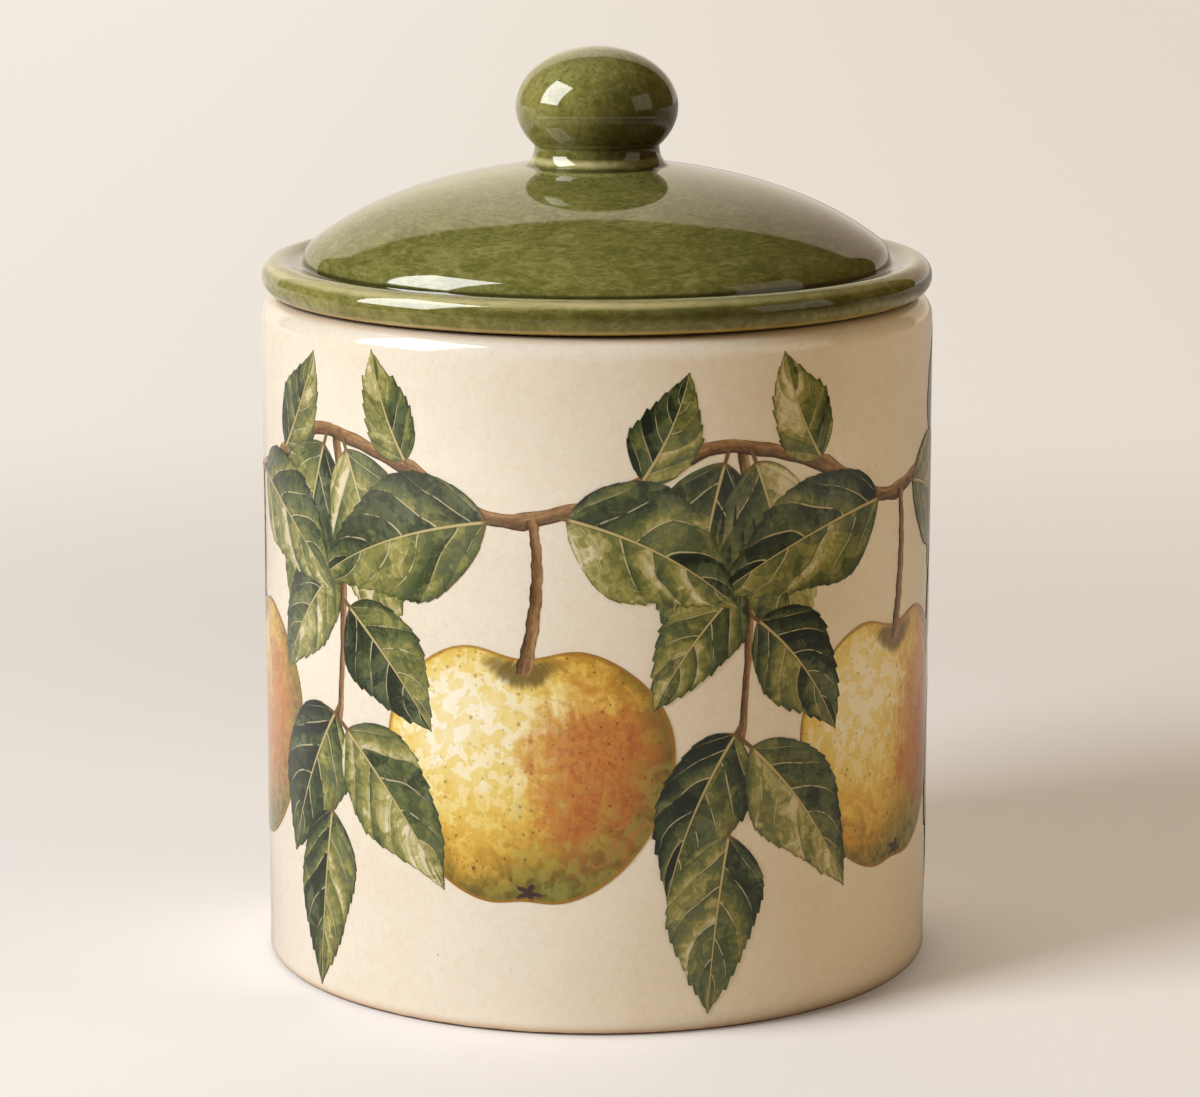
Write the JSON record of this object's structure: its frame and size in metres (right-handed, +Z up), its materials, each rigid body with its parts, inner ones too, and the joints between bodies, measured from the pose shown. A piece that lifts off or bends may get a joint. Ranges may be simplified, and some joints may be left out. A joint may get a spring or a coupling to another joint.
{
  "type": "lidded ceramic canister",
  "caption": "Straight round glazed ceramic canister with a domed lift-off lid, a ball knob and a sealing ring in its mouth, for keeping dry food on a counter.",
  "frame": {"origin": "centre of the foot ring, on the surface that the canister stands on", "axes": "+Z up along the axis of revolution, through the knob; -Y towards the viewer of the picture; +X to the right"},
  "size_m": [0.15, 0.15, 0.205],
  "materials": {
    "cream_glaze": "glossy cream glaze with faint specks and a painted fruit and leaf print under it, bare clay on the foot ring",
    "olive_glaze": "glossy mottled olive glaze that breaks to buff on the edges",
    "seal_silicone": "matt translucent white silicone"
  },
  "bodies": {
    "canister": {"canister_body": "cream_glaze"},
    "lid": {"lid": "olive_glaze", "knob": "olive_glaze", "lid_gasket": "seal_silicone"}
  },
  "joints": [
    {"name": "lid_lift", "type": "slide", "parent": "canister", "child": "lid", "axis": [0, 0, 1], "range_m": [0, 0.08]}
  ]
}
